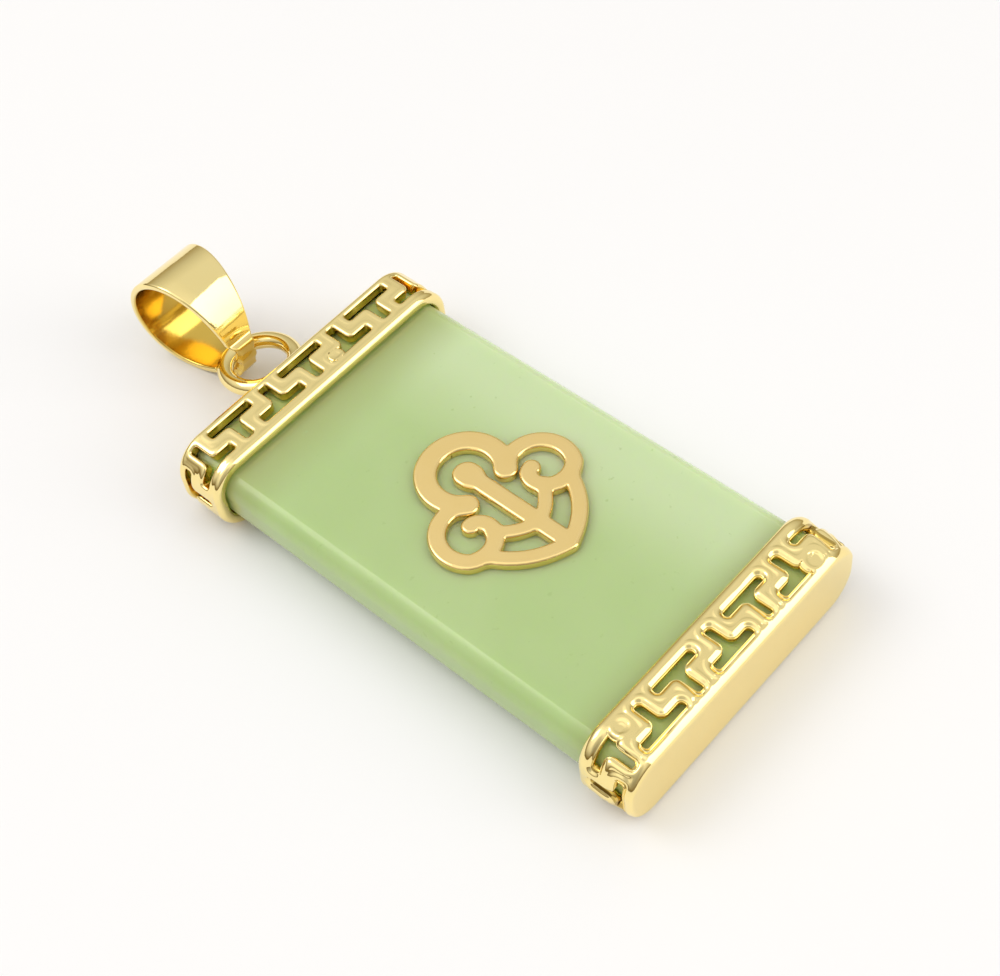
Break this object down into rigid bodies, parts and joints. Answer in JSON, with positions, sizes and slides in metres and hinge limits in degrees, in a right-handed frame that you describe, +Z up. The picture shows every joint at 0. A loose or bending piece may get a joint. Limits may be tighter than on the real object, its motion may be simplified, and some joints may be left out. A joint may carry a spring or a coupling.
{
  "type": "jade plaque pendant",
  "caption": "Flat jade plaque pendant with gold end caps pierced with a T-fret, a gold cloud-scroll emblem, a wire ring and a drop-shaped bail for a chain.",
  "frame": {"origin": "under the middle of the whole pendant, on the surface that it lies on", "axes": "+X across the plaque, +Y along it towards the ring and bail, +Z up out of the front face"},
  "size_m": [0.0204, 0.0479, 0.0086],
  "materials": {
    "jade": "polished translucent pale green jade",
    "gold": "polished yellow gold",
    "rose_gold": "satin rosy gold with polished edges"
  },
  "bodies": {
    "root": {"jade_slab": "jade", "top_cap": "gold", "bottom_cap": "gold", "hanging_ring": "gold", "bail": "gold", "emblem": "rose_gold"}
  },
  "joints": []
}
